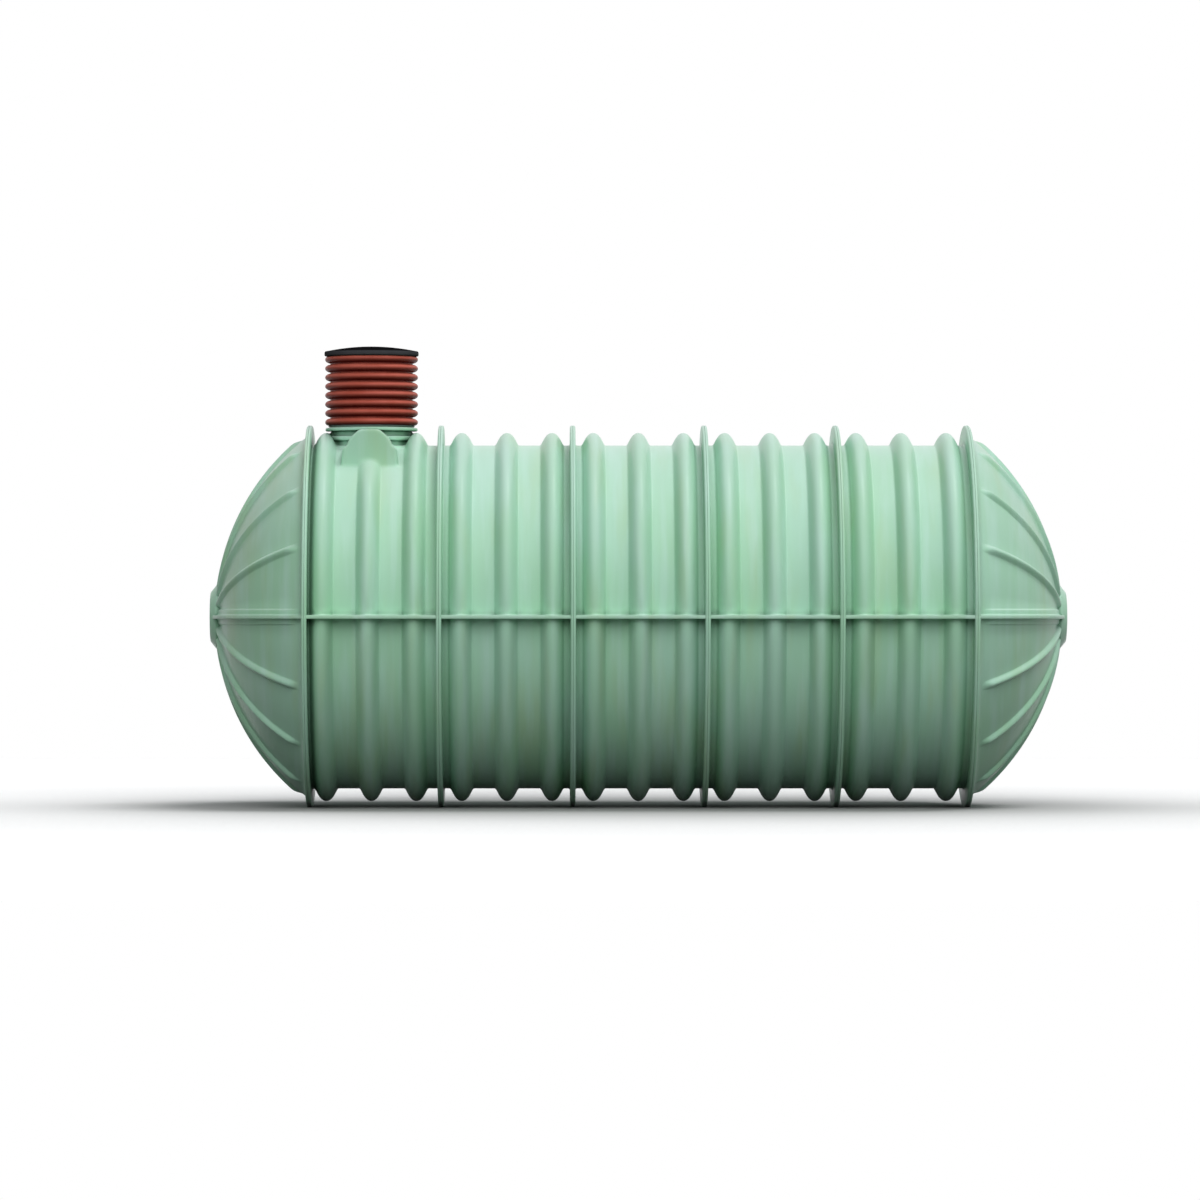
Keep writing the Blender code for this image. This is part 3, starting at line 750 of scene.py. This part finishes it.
def gelcoat_material():
    """Mint gelcoat over glass-fibre laminate: cloudy and slightly wavy, with painted shade in the
    gaps and a painted sheen on faces that look up.
    """
    material, tree, shader, place = new_tree("green_gelcoat")
    cloud = noise(tree, place, 1.6, (1.0, 0.6, 0.6), 3.0)
    streak = noise(tree, place, 11.0, (1.0, 0.09, 0.09), 3.0)
    stain = noise(tree, place, 6.0, (1.0, 0.15, 0.15), 2.0)
    green = (0.38, 0.68, 0.46, 1)
    blue = (0.42, 0.70, 0.54, 1)
    base = mix_colour(tree, ramp(tree, cloud, 0.35, 0.65), green, blue)
    yellow = (0.41, 0.635, 0.39, 1)
    base = mix_colour(tree, ramp(tree, stain, 0.52, 0.7, 0.0, 0.55), base, yellow)
    pale = (0.50, 0.76, 0.64, 1)
    colour = mix_colour(tree, ramp(tree, streak, 0.48, 0.68, 0.0, 0.6), base, pale)
    # Painted sheen: faces that look up turn paler and greyer, standing in for the sky's
    # reflection.
    painted_top_sheen = (0.50, 0.62, 0.58, 1)
    colour = mix_colour(tree, ramp(tree, facing_up(tree), 0.2, 1.0, 0.0, 0.5), colour, painted_top_sheen)
    # Painted shade: where the AO finds other surfaces close by, the colour darkens towards a deep
    # green.
    gap = add_node(tree, "ShaderNodeAmbientOcclusion", {"Distance": GAP_SHADE_REACH}, samples=8)
    gap_shade_colour = (0.07, 0.16, 0.10, 1)
    colour = mix_colour(tree, ramp(tree, gap.outputs["AO"], 0.15, 0.8), gap_shade_colour, colour)
    tree.links.new(colour, shader.inputs["Base Color"])
    shader.inputs["Roughness"].default_value = 0.3
    shader.inputs["Specular IOR Level"].default_value = 0.1
    add_bump(tree, shader, noise(tree, place, 5.0, (1.0, 0.35, 0.35), 1.0), 0.006)
    return material


def red_material():
    """Brick-red plastic of the riser, a little cloudy, with painted shade on the faces that look
    down.
    """
    material, tree, shader, place = new_tree("red_plastic")
    cloud = noise(tree, place, 5.0, (1, 1, 2), 3.0)
    dark = (0.43, 0.085, 0.055, 1)
    light = (0.53, 0.125, 0.088, 1)
    colour = mix_colour(tree, ramp(tree, cloud, 0.35, 0.65), dark, light)
    # Painted shade: faces that look down darken towards this nearly black red.
    under = (0.09, 0.004, 0.002, 1)
    colour = mix_colour(tree, ramp(tree, facing_up(tree), -0.8, 0.5), under, colour)
    tree.links.new(colour, shader.inputs["Base Color"])
    gloss = noise(tree, place, 30.0)
    tree.links.new(ramp(tree, gloss, 0.3, 0.7, 0.4, 0.52), shader.inputs["Roughness"])
    shader.inputs["Specular IOR Level"].default_value = 0.12
    add_grain(tree, shader, place, 220.0)
    return material


def black_material():
    """Black moulded plastic of the cover: matt and nearly black on top, with a painted sheen that
    makes the rim paler.
    """
    material, tree, shader, place = new_tree("black_plastic")
    split = add_node(tree, "ShaderNodeSeparateXYZ", {"Vector": place})
    # Painted sheen: below the rim's top edge the cover takes a paler grey than on top.
    upper = ramp(tree, split.outputs["Z"], COVER_RIM - 0.006, COVER_RIM + 0.002)
    cloud = noise(tree, place, 9.0, (1, 1, 1), 3.0)
    side = mix_colour(tree, cloud, (0.045, 0.046, 0.051, 1), (0.070, 0.071, 0.077, 1))
    top = mix_colour(tree, cloud, (0.003, 0.003, 0.004, 1), (0.009, 0.009, 0.010, 1))
    colour = mix_colour(tree, upper, side, top)
    tree.links.new(colour, shader.inputs["Base Color"])
    shader.inputs["Roughness"].default_value = 0.9
    shader.inputs["IOR"].default_value = 1.0
    add_grain(tree, shader, place, 300.0)
    return material


def rubber_material():
    """Grey-green rubber of the seal."""
    material, tree, shader, place = new_tree("grey_rubber")
    cloud = noise(tree, place, 12.0)
    colour = mix_colour(tree, cloud, (0.16, 0.21, 0.20, 1), (0.24, 0.30, 0.29, 1))
    tree.links.new(colour, shader.inputs["Base Color"])
    shader.inputs["Roughness"].default_value = 0.7
    add_grain(tree, shader, place, 250.0)
    return material


def add_shells(gelcoat):
    """The ten half shells, each with its ribs, ring flanges and side flanges."""
    plain = half_shell_points(0.0)
    first = {"upper": padded_shell_points(), "lower": half_shell_points(RISER_SEGMENT_SHIFT)}
    for number in range(SEGMENTS):
        place_x = (number - (SEGMENTS - 1) / 2) * SEGMENT_PITCH
        for half in ("upper", "lower"):
            node = f"shell_{half}_{number + 1}"
            points = plain if number else first[half]
            item = lattice(f"{node}_skin", placed(points, place_x, half == "lower"))
            dress(item, node, gelcoat)


def add_ends(gelcoat):
    """The four half domes and the two bosses."""
    points = both_sides(dome_quarter())
    for end, side in (("riser_end", -1), ("far_end", 1)):
        for half in ("upper", "lower"):
            node = f"dome_{half}_{end}"
            where = placed(points, side * TANK_HALF_LENGTH, half == "lower", side < 0)
            dress(lattice(f"{node}_skin", where), node, gelcoat)
        node = f"dome_boss_{end}"
        dress(boss(f"{node}_cap", side), node, gelcoat)


def open_manhole(shell):
    """Cuts the manhole out of the ribbed shell under the neck."""
    radius = MANHOLE_RADIUS + MANHOLE_CLEARANCE
    place = Matrix.Translation((RISER_X, 0, AXIS_HEIGHT + SHELL_RADIUS))
    place @= Matrix.Rotation(math.pi / ROUND_SIDES, 4, "Z")
    shape = bmesh.new()
    bmesh.ops.create_cone(
        shape, cap_ends=True, segments=ROUND_SIDES,
        radius1=radius, radius2=radius, depth=1.0, matrix=place,
    )
    cutter = mesh_object(shape, "manhole_cutter")
    cut = shell.modifiers.new("Manhole", "BOOLEAN")
    cut.operation = "DIFFERENCE"
    cut.object = cutter
    graph = bpy.context.evaluated_depsgraph_get()
    opened = bpy.data.meshes.new_from_object(shell.evaluated_get(graph))
    shell.modifiers.clear()
    shell.data = opened
    bpy.data.objects.remove(cutter)


def add_neck(gelcoat, rubber, red, black):
    """The neck, its bead, the collar, the seal, the riser and the cover."""
    dress(neck_moulding(), "shell_upper_1", gelcoat)
    dress(bead(), "shell_upper_1", gelcoat)
    dress(collar(), "neck_collar", gelcoat)
    dress(seal(), "riser_seal", rubber)
    dress(riser(), "riser", red)
    dress(cover(), "riser_cover", black)


def add_floor():
    """A pale floor that keeps the tank's shadow, with a painted shadow where the tank hides the
    sky, and gives little light back to it.
    """
    shape = bmesh.new()
    bmesh.ops.create_grid(shape, x_segments=4, y_segments=4, size=FLOOR_HALF_SIZE)
    floor = mesh_object(shape, "studio_floor")
    material = bpy.data.materials.new("studio_floor")
    material.use_nodes = True
    tree = material.node_tree
    tree.nodes.clear()
    dark = add_node(tree, "ShaderNodeBsdfDiffuse", {"Color": (0.12, 0.12, 0.12, 1)})
    # Painted shadow: the floor's colour darkens towards grey where the tank hides more of the sky.
    hidden = add_node(tree, "ShaderNodeAmbientOcclusion", {"Distance": SHADE_REACH}, samples=16)
    covered = ramp(tree, hidden.outputs["AO"], 0.0, 1.0, -SHADE_GROWTH, 0.0)
    open_share = maths(tree, "EXPONENT", covered)
    colour = mix_colour(tree, open_share, (0.4, 0.4, 0.4, 1), (1.03, 1.03, 1.03, 1))
    pale = add_node(tree, "ShaderNodeBsdfDiffuse", {"Color": colour})
    settings = {"Fac": shown_rays(tree), 1: dark.outputs[0], 2: pale.outputs[0]}
    both = add_node(tree, "ShaderNodeMixShader", settings)
    add_node(tree, "ShaderNodeOutputMaterial", {"Surface": both.outputs[0]})
    floor.data.materials.append(material)


def add_world():
    """A dim sky that is brighter behind the tank, with a white background."""
    world = bpy.data.worlds.new("studio")
    bpy.context.scene.world = world
    world.use_nodes = True
    tree = world.node_tree
    tree.nodes.clear()
    place = add_node(tree, "ShaderNodeTexCoord").outputs["Generated"]
    split = add_node(tree, "ShaderNodeSeparateXYZ", {"Vector": place})
    strength = ramp(tree, split.outputs["Z"], 0.3, 0.6, 0.12, 0.08)
    for axis, low, high, top in (("Z", 0.7, 0.9, 0.1), ("Y", 0.3, 0.9, 0.6)):
        more = ramp(tree, split.outputs[axis], low, high, 0.0, top)
        strength = maths(tree, "ADD", strength, more)
    settings = {"Color": (0.97, 1.0, 1.03, 1), "Strength": strength}
    sky = add_node(tree, "ShaderNodeBackground", settings)
    white = add_node(tree, "ShaderNodeBackground", {"Color": (1, 1, 1, 1), "Strength": 1.0})
    settings = {"Fac": shown_rays(tree), 1: sky.outputs[0], 2: white.outputs[0]}
    both = add_node(tree, "ShaderNodeMixShader", settings)
    add_node(tree, "ShaderNodeOutputWorld", {"Surface": both.outputs[0]})


def add_lamp(name, power, width, height, turn):
    """A far lamp: its power, and its width, height and turn to the right in degrees."""
    data = bpy.data.lights.new(name, "SUN")
    data.energy = power
    data.angle = math.radians(width)
    lamp = linked(name, data)
    lamp.rotation_euler = (math.radians(90 - height), 0, math.radians(turn))


def add_lamps():
    """A very wide key lamp in front, and a narrower one high on the right."""
    add_lamp("key", 1.85, 60, 35, 3)
    add_lamp("side", 1.6, 30, 69, 85)


def add_camera():
    """The photograph's view: far off, level with the axis, left of the tank's middle."""
    distance = 48.0
    place_x = -0.65
    frame_width = 8.4  # that the picture spans at the tank's axis
    middle_x = -0.267  # of the picture
    middle_rise = 0.119  # of the picture, over the axis
    data = bpy.data.cameras.new("camera")
    data.sensor_width = 36.0
    data.lens = data.sensor_width * distance / frame_width
    data.shift_x = (middle_x - place_x) / frame_width
    data.shift_y = middle_rise / frame_width
    data.clip_end = 400
    camera = linked("camera", data)
    camera.location = (place_x, -distance, AXIS_HEIGHT)
    camera.rotation_euler = (math.pi / 2, 0, 0)
    bpy.context.scene.camera = camera


gelcoat = gelcoat_material()
add_shells(gelcoat)
open_manhole(bpy.data.objects["shell_upper_1_skin"])
add_ends(gelcoat)
add_neck(gelcoat, rubber_material(), red_material(), black_material())
add_floor()
add_world()
add_lamps()
add_camera()
bpy.context.scene.view_settings.view_transform = "Standard"
